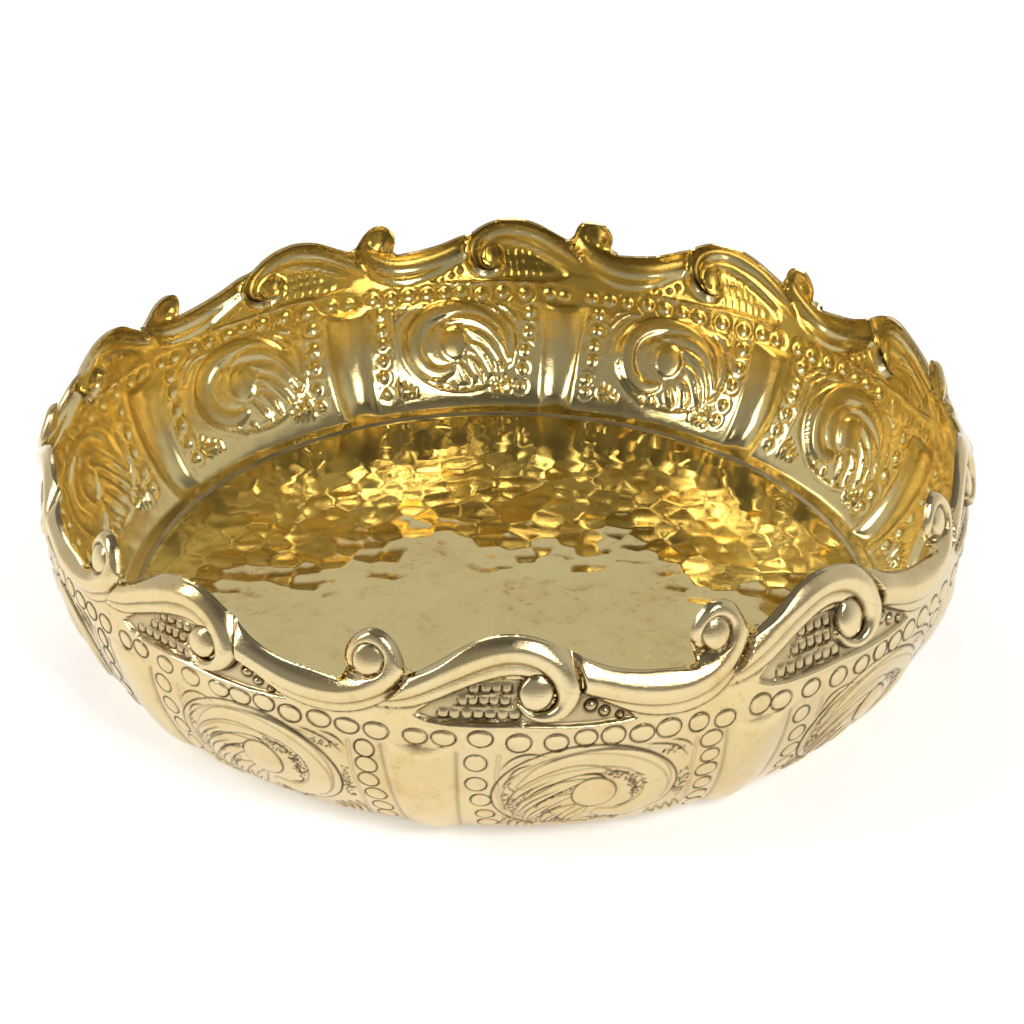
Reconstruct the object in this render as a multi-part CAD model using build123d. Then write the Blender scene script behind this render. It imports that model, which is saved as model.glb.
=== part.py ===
from build123d import *
import math
import os

import numpy as np

# A round tray of raised and chased sheet brass.
# Units are millimetres, +Z is up, and the origin is the middle of the face that the tray rests on.

# Driving dimensions
REPEATS = 10  # flute, panel, crest and curl, ten times round
SHEET = 1.2  # thickness of the sheet brass
NOTCH_RADIUS = 170.0  # outer radius at the rim's notches
NOTCH_HEIGHT = 77.0  # height of the rim's notches
FLOOR_RADIUS = 150.0
FLANGE_RADIUS = 147.0  # inner edge of the band's turned-in lower edge
FIRST_NOTCH = -99.3  # direction of the first notch, degrees
SEAM_ANGLE = 108.5  # direction of the upright seam, degrees
SEAM_GAP = 0.5  # width of the solder in the seam
SOLDER_LEG = 1.4  # width of the solder run round the floor
SOLDER_CLIMB = 0.84  # height the solder climbs up the edge of the flange
SOLDER_RISE = 0.12  # height at which the solder starts on the floor disc's edge
SOLDER_FILM = 0.05  # solder between the disc and the flange that lies on it
FLANGE_HEIGHT = SHEET + SOLDER_FILM  # underside of the flange
PITCH = 2 * math.pi * NOTCH_RADIUS / REPEATS  # one repeat, measured along the notch circle

# The rim is set out by eye: each notch is this far off its even place, in degrees and millimetres.
NOTCH_SHIFT = [0.1, -0.1, 1.0, 1.3, -0.2, -0.4, -1.8, 0.7, 0.4, -0.2]
NOTCH_LIFT = [-3.3, 1.5, 1.0, 2.3, 3.3, 3.4, 1.5, -4.0, -4.5, -3.8]

# The outer face of the band: a flat flange, and then radius and height from its bend to the rim.
FLANGE_BEND = 151.6  # radius where the flat flange ends
FLAT_WIDTH = FLANGE_BEND - FLANGE_RADIUS
PROFILE = [
    (FLANGE_BEND, FLANGE_HEIGHT),
    (155.6, 3.6),
    (162.0, 11.0),
    (168.6, 23.0),
    (173.3, 37.0),
    (175.2, 49.0),
    (174.8, 61.0),
    (170.0, NOTCH_HEIGHT),
    (165.4, 91.0),
]

# The rim's outline over one repeat: distance along from the notch, and height over it.
OUTLINE = [
    (0.0, 0.0),
    (8.0, 4.2),
    (18.0, 9.9),
    (28.0, 12.3),
    (38.5, 10.8),
    (48.0, 6.3),
    (58.3, 1.0),
    (69.3, -2.4),
    (80.0, -3.8),
    (88.0, -3.4),
    (86.8, 1.2),
    (88.0, 8.2),
    (94.5, 12.8),
    (101.0, 10.4),
    (105.0, 4.2),
    (PITCH, 0.0),
]

# Raised strokes over one repeat: half width, rise, and a path of (along, distance up from the notch).
CREST = (4.4, 4.0, [(-15, -13), (-9, -9.5), (0, -4.6), (9, 1.4), (18.5, 5.8), (28.5, 8), (39, 6), (47, 0)])
VOLUTE = (4.0, 3.6, [(47, 0), (48, -6), (45, -12.4), (39, -14.2), (33.6, -12), (32.6, -7)])
DIP = (5.2, 4.2, [(49, -2), (58, -4.4), (69, -8), (79, -9.6), (89, -8.2), (97.5, -2.6), (100, 3.8), (96, 8)])
VOLUTE_EYE = (38.0, -7.0, 4.8, 3.2)  # along, distance up from the notch, radius, rise
CURL_EYE = (91.2, 3.6, 4.6, 3.4)

# The body below the row of punched circles, on which distances up from the row are measured
ROW_HEIGHT = 53.0
ROW_WANDER = 1.5  # how far the row strays up and down round the tray
ROW_HIGH = -140.0  # direction in which the row is highest, degrees
FLUTE = (3.0, 11.5, 2.6)  # middle, half width and rise
FLUTE_TOP = -5.0  # where the flutes start under the row
MEDALLION = (54.5, -26.0, 26.5, 21.0)  # middle along and up, half width and half height of its border
BORDER = (3.2, 2.2)  # half width and rise of the border
BOSS = (57.3, -24.6, 7.0, 3.4)

# How finely the band is sampled
COLUMNS = 14  # for each repeat
FLANGE_ROWS = 1  # across the flat flange
LOWER_ROWS = 11  # from the flange to the row of circles
UPPER_ROWS = 10  # from there to the rim


def smooth_path(points, count, **shape):
    """Points along a smooth curve through the given (x, y) points."""
    curve = Edge.make_spline([Vector(x, y) for x, y in points], **shape)
    return np.array([tuple(curve.position_at(t))[:2] for t in np.linspace(0, 1, count)])


RISING_CURVE = smooth_path(PROFILE, 600, tangents=[Vector(1, 0), Vector(-1, 3)])
PROFILE_CURVE = np.vstack([(FLANGE_RADIUS, FLANGE_HEIGHT), RISING_CURVE])
PROFILE_STEPS = np.hypot(*np.diff(PROFILE_CURVE, axis=0).T)
PROFILE_LENGTHS = np.concatenate([[0.0], np.cumsum(PROFILE_STEPS)])
PROFILE_SLOPE = np.gradient(PROFILE_CURVE, PROFILE_LENGTHS, axis=0)
OUTLINE_CURVE = smooth_path(OUTLINE, 400)


def even_angle(along, repeat):
    """Direction in degrees of a place `along` mm past the notch that starts a repeat."""
    share = along / PITCH
    shift = (1 - share) * NOTCH_SHIFT[repeat % REPEATS] + share * NOTCH_SHIFT[(repeat + 1) % REPEATS]
    return FIRST_NOTCH + 360.0 / REPEATS * (repeat + share) + shift


def notch_height(along, repeat):
    """Height of the line through the notches at that place."""
    share = along / PITCH
    lift = (1 - share) * NOTCH_LIFT[repeat % REPEATS] + share * NOTCH_LIFT[(repeat + 1) % REPEATS]
    return NOTCH_HEIGHT + lift


def distance_to_path(x, y, path):
    """Distance from each (x, y) to the polyline `path`."""
    best = np.full(x.shape, np.inf)
    for (ax, ay), (bx, by) in zip(path[:-1], path[1:]):
        dx = bx - ax
        dy = by - ay
        t = np.clip(((x - ax) * dx + (y - ay) * dy) / (dx * dx + dy * dy), 0, 1)
        best = np.minimum(best, np.hypot(x - ax - t * dx, y - ay - t * dy))
    return best


def bump(distance, half_width, rise):
    """A half-round bump, `rise` high in its middle and level with the sheet past `half_width`."""
    inside = np.clip(1 - (distance / half_width) ** 2, 0, 1)
    return rise * inside**1.5


STROKES = [(half, rise, smooth_path(points, 40)) for half, rise, points in (CREST, VOLUTE, DIP)]


def rim_relief(along, up):
    """Rise of the mouldings on the rim; `up` is the distance along the sheet from the notch line."""
    rise = np.zeros(along.shape)
    for shift in (-PITCH, 0.0, PITCH):
        x = along - shift
        for half, height, path in STROKES:
            rise = np.maximum(rise, bump(distance_to_path(x, up, path), half, height))
        for ex, ey, radius, height in (VOLUTE_EYE, CURL_EYE):
            rise = np.maximum(rise, bump(np.hypot(x - ex, up - ey), radius, height))
    return rise


def body_relief(along, up):
    """Rise of the flutes and medallions; `up` is the distance along the sheet from the row."""
    x, y, half_width, half_height = MEDALLION
    reach = np.hypot((along - x) / half_width, (up - y) / half_height)
    rise = bump((reach - 1) * half_height, *BORDER)
    rise = np.maximum(rise, bump(np.hypot(along - BOSS[0], up - BOSS[1]), BOSS[2], BOSS[3]))
    middle, half, height = FLUTE
    across = np.minimum(np.abs(along - middle), np.abs(along - middle - PITCH))
    fade = np.clip((FLUTE_TOP - up) / 5, 0, 1) * np.clip((up + BODY_LENGTH) / 12, 0, 1)
    return np.maximum(rise, bump(across, half, height) * fade)


def length_at(height):
    """Distance along the band's outer face, from the flange's edge up to a height."""
    return np.interp(height, PROFILE_CURVE[1:, 1], PROFILE_LENGTHS[1:])


BODY_LENGTH = length_at(ROW_HEIGHT - ROW_WANDER) - FLAT_WIDTH  # least distance from the bend to the row


def column_points(turn):
    """Outer and inner points of one column of the band.

    `turn` counts repeats from the first notch. The column leans so as to meet the rim's outline.
    """
    repeat = math.floor(turn)
    foot = (turn - repeat) * PITCH
    row_height = ROW_HEIGHT + ROW_WANDER * math.cos(math.radians(even_angle(foot, repeat) - ROW_HIGH))
    row_length = length_at(row_height)
    place = (turn - repeat) * (len(OUTLINE_CURVE) - 1)
    low = min(int(place), len(OUTLINE_CURVE) - 2)
    tip_along, tip_over = OUTLINE_CURVE[low] + (place - low) * (OUTLINE_CURVE[low + 1] - OUTLINE_CURVE[low])
    tip_length = length_at(notch_height(tip_along, repeat) + tip_over)
    reach = np.sin(np.linspace(0, math.pi / 2, UPPER_ROWS + 1))[1:]
    lengths = np.concatenate(
        [
            np.linspace(0, FLAT_WIDTH, FLANGE_ROWS, endpoint=False),
            np.linspace(FLAT_WIDTH, row_length, LOWER_ROWS),
            row_length + (tip_length - row_length) * reach,
        ]
    )
    alongs = np.full(lengths.shape, foot)
    alongs[-UPPER_ROWS:] += (tip_along - foot) * reach**1.5
    notch_lengths = length_at(notch_height(alongs, repeat))
    rise = rim_relief(alongs, lengths - notch_lengths)
    rise = np.maximum(rise, body_relief(alongs, lengths - row_length))
    radii = np.interp(lengths, PROFILE_LENGTHS, PROFILE_CURVE[:, 0])
    heights = np.interp(lengths, PROFILE_LENGTHS, PROFILE_CURVE[:, 1])
    lean_out = np.interp(lengths, PROFILE_LENGTHS, PROFILE_SLOPE[:, 0])
    lean_up = np.interp(lengths, PROFILE_LENGTHS, PROFILE_SLOPE[:, 1])
    angles = np.radians([even_angle(along, repeat) for along in alongs])
    faces = []
    for offset in (rise, rise - SHEET):
        r = radii + lean_up * offset
        z = heights - lean_out * offset
        faces.append(np.stack([r * np.cos(angles), r * np.sin(angles), z], axis=1))
    return faces


def band_grid(turns):
    """Outer and inner points of the band: one list of points, from the flange up, for each column."""
    columns = [column_points(turn) for turn in turns]
    return np.array([c[0] for c in columns]), np.array([c[1] for c in columns])


def strip_faces(left, right):
    """The small faces between two matching rows of points."""
    rungs = [Edge.make_line(Vector(*a), Vector(*b)) for a, b in zip(left, right)]
    return [Face.make_surface_from_curves(a, b) for a, b in zip(rungs[:-1], rungs[1:])]


def sheet_solid(turns):
    """A closed solid of the band between the first and last of the given places."""
    outer, inner = band_grid(turns)
    faces = []
    for side in (outer, inner):
        for left, right in zip(side[:-1], side[1:]):
            faces += strip_faces(left, right)
    for row in (0, -1):
        faces += strip_faces(outer[:, row], inner[:, row])
    for end in (0, -1):
        faces += strip_faces(outer[end], inner[end])
    return Solid(Shell(faces))


def seam_turn(angle):
    """The place, in repeats from the first notch, that lies at a direction in degrees."""
    return ((angle - FIRST_NOTCH) % 360.0) * REPEATS / 360.0


def solder_run():
    """The film of solder under the flange, with a fillet along each of its edges."""
    inside = FLANGE_RADIUS - SOLDER_FILM
    section = Polygon(
        (inside - SOLDER_LEG, SHEET),
        (inside, FLANGE_HEIGHT + SOLDER_CLIMB),
        (inside, FLANGE_HEIGHT),
        (FLOOR_RADIUS + SOLDER_LEG, FLANGE_HEIGHT),
        (FLOOR_RADIUS, SOLDER_RISE),
        (FLOOR_RADIUS, SHEET),
        align=None,
    )
    return revolve(Plane.XZ * section, Axis.Z)


def main():
    half_gap = math.degrees(SEAM_GAP / 2 / NOTCH_RADIUS)
    start = seam_turn(SEAM_ANGLE + half_gap)
    end = seam_turn(SEAM_ANGLE - half_gap) + REPEATS
    parts = {
        "wall_band": sheet_solid(np.linspace(start, end, REPEATS * COLUMNS + 1)),
        "seam_solder": sheet_solid(np.array([end, start + REPEATS])),
        "floor_disc": Cylinder(FLOOR_RADIUS, SHEET, align=(Align.CENTER, Align.CENTER, Align.MIN)),
        "floor_solder": solder_run(),
    }
    os.makedirs("parts", exist_ok=True)
    for name, shape in parts.items():
        export_step(shape, f"parts/{name}.step")


main()
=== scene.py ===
import math

import bpy
import numpy as np
from mathutils import Matrix


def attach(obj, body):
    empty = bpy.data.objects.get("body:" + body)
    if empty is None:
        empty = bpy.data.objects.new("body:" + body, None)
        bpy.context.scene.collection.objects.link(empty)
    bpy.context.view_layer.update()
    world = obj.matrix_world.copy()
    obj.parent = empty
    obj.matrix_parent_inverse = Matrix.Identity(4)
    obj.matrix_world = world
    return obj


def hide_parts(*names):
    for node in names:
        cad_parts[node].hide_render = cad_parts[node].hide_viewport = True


# A round tray of raised and chased sheet brass: the looks.
# The band's ornament is worked out flat, as a sheet of relief in millimetres, and then wrapped round
# the band's profile. "Along" runs round the tray. "Up" runs up the sheet, from the row of circles.

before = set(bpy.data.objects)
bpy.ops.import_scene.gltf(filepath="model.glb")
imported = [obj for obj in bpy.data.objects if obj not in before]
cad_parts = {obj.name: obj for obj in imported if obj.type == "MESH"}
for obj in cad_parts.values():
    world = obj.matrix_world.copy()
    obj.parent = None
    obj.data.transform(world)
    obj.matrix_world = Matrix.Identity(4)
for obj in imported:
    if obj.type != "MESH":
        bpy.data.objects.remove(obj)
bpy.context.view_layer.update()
chance = np.random.default_rng(20)

MM = 0.001

# The band: these repeat the CAD part's driving dimensions
REPEATS = 10  # flute, panel, crest and curl, ten times round
SHEET = 1.2  # thickness of the sheet brass
NOTCH_RADIUS = 170.0  # outer radius at the rim's notches
NOTCH_HEIGHT = 77.0
FLANGE_RADIUS = 147.0  # inner edge of the turned-in lower edge
FLANGE_HEIGHT = 1.25
FLANGE_BEND = 151.6  # radius where the flat flange ends
FIRST_NOTCH = -99.3  # direction of the first notch, degrees
SEAM_ANGLE = 108.5  # direction of the upright seam, degrees
SEAM_GAP = 0.5
ROW_HEIGHT = 53.0  # of the row of punched circles
ROW_WANDER = 1.5
ROW_HIGH = -140.0  # direction in which the row is highest, degrees
PITCH = 2 * math.pi * NOTCH_RADIUS / REPEATS
ROUND = REPEATS * PITCH  # once round the tray
NOTCH_SHIFT = [0.1, -0.1, 1.0, 1.3, -0.2, -0.4, -1.8, 0.7, 0.4, -0.2]  # degrees off the even place
NOTCH_LIFT = [-3.3, 1.5, 1.0, 2.3, 3.3, 3.4, 1.5, -4.0, -4.5, -3.8]  # mm off the even height
PROFILE = [
    (FLANGE_BEND, FLANGE_HEIGHT), (155.6, 3.6), (162.0, 11.0), (168.6, 23.0), (173.3, 37.0),
    (175.2, 49.0), (174.8, 61.0), (170.0, NOTCH_HEIGHT), (165.4, 91.0),
]

# The rim's outline over one repeat: along from the notch, and up the sheet from the notch line
OUTLINE = [
    (0.0, 0.0), (8.0, 4.4), (18.0, 10.4), (28.0, 12.9),
    (38.5, 11.3), (48.0, 6.6), (58.3, 1.0), (69.3, -2.5),
    (80.0, -4.0), (88.0, -3.6), (86.8, 1.2), (88.0, 8.6),
    (94.5, 13.4), (101.0, 10.9), (105.0, 4.4), (PITCH, 0.0),
]
CURL_START = 75.0  # where the columns of the mesh start to fan out into the curl
CURL_ROOT = (97.0, -5.0)  # what each curl is turned about

# Mouldings: along, up from the notch line, half width left and right, rise, level at the right edge.
# A fillet is the width of the flat step on a moulding's right, for each of its rows.
CREST = [
    (-15.0, -13.0, 1.0, 1.0, 0.8, 0.0), (-9.5, -9.8, 2.6, 2.6, 2.2, 0.2),
    (0.0, -4.8, 6.0, 4.0, 3.6, 0.9), (9.0, 1.0, 7.0, 4.5, 4.3, 1.5),
    (18.5, 5.6, 7.0, 4.5, 4.5, 1.6), (28.5, 8.2, 7.0, 4.5, 4.5, 1.6),
    (38.0, 6.8, 6.5, 4.5, 4.5, 1.6), (45.0, 1.6, 5.0, 4.5, 4.5, 1.5),
    (47.8, -5.0, 4.3, 4.2, 4.3, 1.0), (46.3, -11.6, 3.2, 3.0, 3.6, 0.5),
    (41.5, -15.0, 2.2, 2.2, 2.8, 0.2), (36.2, -14.2, 1.5, 1.5, 1.9, 0.0),
    (32.8, -10.6, 0.7, 0.7, 1.0, 0.0),
]
CREST_FILLET = [1.2, 4.8, 7.8, 8.6, 8.7, 8.7, 8.4, 7.4, 5.2, 3.4, 2.4, 1.6, 0.8]
CREST_OVER_DIP = 3  # from this point on, the crest lies over the dip before it
DIP = [
    (46.0, 1.0, 6.0, 5.0, 2.0, 0.5), (50.0, -1.2, 8.0, 5.2, 4.0, 1.4),
    (58.3, -4.6, 8.0, 5.3, 4.5, 1.6), (69.0, -8.2, 8.0, 5.3, 4.5, 1.6),
    (79.0, -9.8, 8.0, 5.3, 4.5, 1.6), (88.0, -8.8, 7.0, 5.2, 4.5, 1.4),
    (95.5, -5.0, 5.0, 5.2, 4.4, 0.8), (100.2, 0.5, 3.4, 5.8, 4.2, 0.0),
    (100.6, 5.5, 2.6, 6.3, 4.0, 0.0), (97.0, 9.2, 2.4, 6.3, 3.8, 0.0),
    (92.4, 8.8, 2.0, 6.3, 3.4, 0.0), (90.0, 5.4, 1.6, 5.5, 2.8, 0.0),
    (90.2, 2.0, 1.0, 3.0, 1.6, 0.0),
]
DIP_FILLET = [5.0, 5.3, 6.2, 8.4, 9.5, 9.2, 7.6, 6.0, 6.3, 6.3, 6.3, 5.5, 4.0]
MOULDING_POINTS = 64
CURL_SPLIT = 36  # point of the dip from which its curl is laid over it
CURL_LAP = 8  # points by which the two lengths overlap
VOLUTE_EYE = (38.2, -6.8, 5.4, 6.4, 1.9)  # along, up, half width, half height, rise
CURL_EYE = (94.4, 3.2, 5.0, 5.5, 1.9)
EDGE_REACH = 3.2  # how far in from the rim the mouldings round over
CREASE_REACH = 6.0  # a moulding has no crease on its left nearer to the rim than this

# The recess under each crest, with rows of scales: along, and up from the row of circles
RECESS_TOP = [
    (1.7, 9.4), (9.0, 16.0), (15.0, 19.5), (20.0, 22.2),
    (27.0, 23.0), (45.0, 22.0), (60.0, 14.0), (68.0, 6.2),
]
RECESS_FOOT = [
    (1.7, 9.2), (6.0, 7.2), (12.0, 6.3), (22.0, 6.2),
    (32.0, 6.4), (42.0, 5.6), (55.0, 5.2), (68.0, 6.0),
]
RECESS_DEPTH = 1.1
# along from and to, up, count
SCALE_ROWS = [(18.0, 31.5, 20.0, 4), (14.5, 30.5, 15.3, 5), (8.5, 33.5, 9.8, 7)]
BUDS = [(54.5, 11.7, 2.0), (58.6, 9.2, 1.7), (63.3, 7.4, 1.2)]  # along, up, radius

# Punched circles
ROW_CIRCLES = [2.8, 10.9, 21.5, 33.3, 44.0, 53.2, 61.1, 70.0, 79.2, 88.0, 97.2]
LEFT_COLUMN = [(20.0, -9.6), (20.6, -19.0), (21.6, -28.5), (22.8, -38.0), (24.0, -46.0)]
RIGHT_COLUMN = [(93.2, -8.2), (93.6, -15.6), (94.0, -23.0), (94.6, -31.0), (95.4, -39.5), (95.9, -47)]

# The panel
FLUTE_EDGES = [(-5.0, -8.5, 14.5), (-58.0, -4.0, 14.0)]  # up, and along at the left and right edge
FLUTE_RISE = 1.8
UPRIGHT_LINES = [(28.6, 27.2), (89.6, 88.4)]  # beside the panels: along at the foot and at the top
MEDALLION = (54.5, -26.0, 28.0, 22.0)  # middle along and up, half width and half height
BOSS = (57.0, -25.0, 7.0, 8.2, 1.9)
SCROLL = [  # along, up, half width, rise
    (33.5, -20.0, 1.0, 0.5), (40.5, -12.5, 2.4, 1.1), (50.0, -8.6, 3.4, 1.4),
    (61.0, -8.2, 4.0, 1.6), (71.0, -12.0, 4.3, 1.7), (76.6, -19.5, 4.4, 1.7),
    (77.0, -28.0, 4.2, 1.7), (73.0, -36.0, 4.0, 1.6), (66.5, -39.6, 3.6, 1.4),
    (60.0, -38.0, 2.6, 1.0),
]
LEAF_LOBES = [  # along, up, half width, rise
    [
        (62.0, -15.2, 0.8, 0.5), (54.0, -13.0, 2.3, 1.3), (43.0, -15.6, 3.0, 1.6),
        (34.6, -23.5, 2.7, 1.4), (29.8, -33.0, 0.8, 0.5),
    ],
    [(53.5, -18.0, 0.8, 0.6), (45.5, -20.6, 2.5, 1.5), (37.6, -27.6, 2.6, 1.5), (32.6, -38.0, 0.8, 0.6)],
    [(50.2, -24.6, 0.7, 0.6), (43.6, -28.4, 2.2, 1.4), (38.6, -35.0, 2.3, 1.4), (36.0, -43.0, 0.8, 0.6)],
    [(51.0, -31.5, 0.7, 0.6), (46.2, -35.4, 2.0, 1.3), (43.4, -40.4, 2.0, 1.2), (42.6, -45.6, 0.7, 0.5)],
    [(55.4, -34.0, 0.7, 0.5), (52.6, -38.4, 1.8, 1.2), (50.6, -42.4, 1.9, 1.2), (49.6, -46.6, 0.7, 0.5)],
    [(60.2, -42.6, 0.6, 0.5), (59.4, -45.0, 1.5, 1.0), (57.0, -47.4, 0.6, 0.4)],
    [(67.4, -43.6, 0.6, 0.5), (66.6, -45.4, 1.4, 1.0), (64.4, -47.4, 0.6, 0.4)],
]
STIPPLED = [  # points, half width, number of dots
    ([(60.0, -15.8), (66.0, -17.4), (70.0, -22.0), (69.6, -28.0)], 2.3, 74),
    ([(51.0, -21.6), (44.5, -24.4), (39.0, -30.6)], 0.9, 34),
    ([(46.6, -31.0), (42.0, -36.6), (40.0, -42.0)], 0.8, 26),
    ([(46.5, -41.8), (47.4, -44.8)], 0.9, 10),
    ([(55.5, -43.0), (62.0, -43.4), (70.0, -42.2), (75.0, -38.6)], 0.9, 38),
    ([(37.0, -20.4), (33.4, -28.0), (31.6, -35.0)], 0.5, 20),
]
CORNER_ARCS = [
    [(27.6, -13.0), (30.4, -8.6), (36.0, -6.4), (41.6, -7.4)],
    [(29.6, -17.4), (32.4, -13.2), (37.2, -10.4)],
    [(28.4, -21.4), (30.0, -18.0), (33.2, -15.0)],
    [(72.0, -5.6), (77.6, -6.4), (82.4, -9.0), (86.0, -13.4)],
    [(79.6, -5.0), (84.0, -6.4), (87.4, -9.8)],
]
STROKES = [
    [(45.0, -17.6), (40.0, -20.6), (36.4, -25.2)],
    [(47.0, -22.4), (41.6, -26.6), (38.6, -31.0)],
    [(46.0, -29.6), (42.4, -33.2), (40.8, -37.4)],
    [(52.0, -15.0), (57.6, -15.6), (61.4, -19.4)],
    [(60.4, -14.4), (65.4, -15.4), (68.6, -18.4)],
    [(70.4, -30.0), (68.6, -33.6), (64.6, -35.6)],
    [(47.8, -38.0), (46.4, -41.6), (46.2, -45.0)],
]
FLAMES = [(31.0, 1), (86.5, -1)]  # along, and which way they lean
MATTING = [  # ovals of dots: along, up, half width, half height, number of dots
    (70.3, -22.5, 3.2, 6.0, 42), (30.2, -25.5, 1.9, 7.5, 34), (86.0, -27.0, 2.4, 9.0, 58),
    (80.5, -9.0, 4.2, 1.6, 20), (44.0, -43.5, 7.0, 1.6, 26), (66.0, -44.0, 6.0, 1.5, 22),
]

# The relief sheet
CELLS_ALONG = 4272
CELL = ROUND / CELLS_ALONG
SHEET_BOTTOM = -70.0
SHEET_TOP = 42.0
CELLS_UP = int((SHEET_TOP - SHEET_BOTTOM) / CELL)
FAR = 9.0  # mm, where a chased line no longer shows
RIDGE_WIDTH = 0.62  # of the soft ridge that a chased line raises on the inner face
OUTER_RELIEF = 0.62  # share of the panels' relief that shows on the outside
INNER_BLUR = 0.4  # the sheet's inner face follows the outer one softly
THIN_SHEET = 0.5  # least thickness the chasing leaves

# The mesh of the band
FINE_STEP = 0.42  # between columns through the ornament, and between rows
FLUTE_STEP = 0.6
FLUTE_SPAN = (-8.5, 14.0)  # along, where the columns are further apart
RIM_SMOOTHING = 13  # points over which the rim's direction is evened out
RISE_ROWS = 80  # rows from the punched circles to the rim
FOOT_ROWS = 18  # rows up the plain foot
PLAIN_FOOT = -52.0
FOOT_LEAD = 11.0  # how stiffly a column of the mesh leaves its foot, and meets the rim
RIM_LEAD = 4.0
EVENING = 30  # times that the points between are moved to the middle of their neighbours

relief = np.zeros((CELLS_UP, CELLS_ALONG))
cuts = np.zeros((CELLS_UP, CELLS_ALONG))  # depth of the chased lines
ink = np.zeros((CELLS_UP, CELLS_ALONG))  # patina left in the chased lines
ridges = np.zeros((CELLS_UP, CELLS_ALONG))  # what the chasing raises on the inner face


# Curves


def smooth_path(points, count):
    """Evenly spaced rows along a natural cubic spline; the first two numbers of a row are its place."""
    p = np.array(points, float)
    t = np.concatenate([[0.0], np.cumsum(np.hypot(*np.diff(p[:, :2], axis=0).T))])
    h = np.diff(t)
    matrix = np.eye(len(p))
    right = np.zeros_like(p)
    for i in range(1, len(p) - 1):
        matrix[i, i - 1 : i + 2] = h[i - 1], 2 * (h[i - 1] + h[i]), h[i]
        right[i] = 6 * ((p[i + 1] - p[i]) / h[i] - (p[i] - p[i - 1]) / h[i - 1])
    bend = np.linalg.solve(matrix, right)
    at = np.linspace(0, t[-1], count)
    i = np.clip(np.searchsorted(t, at, side="right") - 1, 0, len(h) - 1)
    b = ((at - t[i]) / h[i])[:, None]
    a = 1 - b
    curve = (a**3 - a) * bend[i] + (b**3 - b) * bend[i + 1]
    return a * p[i] + b * p[i + 1] + curve * (h[i] ** 2)[:, None] / 6


def nearest(x, y, path):
    """Distance from each (x, y) to a polyline, the place along it, and whether it is on its left."""
    best = np.full(x.shape, np.inf)
    place = np.zeros(x.shape)
    side = np.zeros(x.shape)
    for i, ((ax, ay), (bx, by)) in enumerate(zip(path[:-1], path[1:])):
        dx, dy = bx - ax, by - ay
        t = np.clip(((x - ax) * dx + (y - ay) * dy) / (dx * dx + dy * dy), 0, 1)
        across, over = x - ax - t * dx, y - ay - t * dy
        distance = np.hypot(across, over)
        closer = distance < best
        best = np.where(closer, distance, best)
        place = np.where(closer, i + t, place)
        side = np.where(closer, dx * over - dy * across, side)
    return best, place, side > 0


def smoothstep(x):
    x = np.clip(x, 0, 1)
    return x * x * (3 - 2 * x)


# The band's shape

FLAT_WIDTH = FLANGE_BEND - FLANGE_RADIUS
# A mirrored first point makes the profile leave the flange level
RISING = smooth_path([(2 * FLANGE_BEND - PROFILE[1][0], PROFILE[1][1])] + PROFILE, 900)
RISING = RISING[RISING[:, 0] >= FLANGE_BEND]
SECTION = np.vstack([(FLANGE_RADIUS, FLANGE_HEIGHT), (FLANGE_BEND, FLANGE_HEIGHT), RISING[1:]])
SECTION[:, 1] = np.maximum(SECTION[:, 1], FLANGE_HEIGHT)
SECTION_LENGTH = np.concatenate([[0.0], np.cumsum(np.hypot(*np.diff(SECTION, axis=0).T))])
SECTION_SLOPE = np.gradient(SECTION, SECTION_LENGTH, axis=0)


def length_at(height):
    """Distance up the sheet from the flange's edge to a height."""
    return np.interp(height, SECTION[1:, 1], SECTION_LENGTH[1:])


def between_notches(values, turn):
    """Reads between values given at the notches, `turn` repeats from the first."""
    return np.interp(turn % REPEATS, np.arange(REPEATS + 1), values + values[:1])


def direction(along):
    """Direction in degrees of a distance along, counted from the first notch."""
    turn = along / PITCH
    return FIRST_NOTCH + 360.0 / REPEATS * turn + between_notches(NOTCH_SHIFT, turn)


def row_length(along):
    """Distance up the sheet to the row of circles."""
    wander = ROW_WANDER * np.cos(np.radians(direction(along) - ROW_HIGH))
    return length_at(ROW_HEIGHT + wander)


def notch_length(along):
    """Distance up the sheet to the notch line."""
    return length_at(NOTCH_HEIGHT + between_notches(NOTCH_LIFT, along / PITCH))


NOTCH_ROW = length_at(NOTCH_HEIGHT) - length_at(ROW_HEIGHT)  # even distance from row to notch line


def sheet_length(along, up):
    """Distance up the sheet from the flange's edge. From row to notch line it stretches to fit."""
    row = row_length(along)
    stretch = (notch_length(along) - row) / NOTCH_ROW
    risen = np.minimum(up, NOTCH_ROW) * stretch + np.maximum(up - NOTCH_ROW, 0)
    return row + np.where(up < 0, up, risen)


def wrapped(along, up, out):
    """Points of the band, `out` mm outside the plain sheet's outer face."""
    length = sheet_length(along, up)
    columns = (*SECTION.T, *SECTION_SLOPE.T)
    radius, height, slope_r, slope_z = [np.interp(length, SECTION_LENGTH, column) for column in columns]
    angle = np.radians(direction(along))
    r = radius + slope_z * out
    return np.stack([r * np.cos(angle), r * np.sin(angle), height - slope_r * out], axis=-1)


# Working on the relief sheet


def window(low_x, high_x, low_y, high_y):
    """Index of a rectangle of the sheet, and its cells' places along and up."""
    first, last = int((low_y - SHEET_BOTTOM) / CELL), int((high_y - SHEET_BOTTOM) / CELL) + 2
    rows = np.arange(max(0, first), min(CELLS_UP, last))
    columns = np.arange(int(low_x // CELL), int(high_x // CELL) + 2)
    x, y = np.meshgrid(columns * CELL, SHEET_BOTTOM + rows * CELL)
    return np.ix_(rows, columns % CELLS_ALONG), x, y


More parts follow.
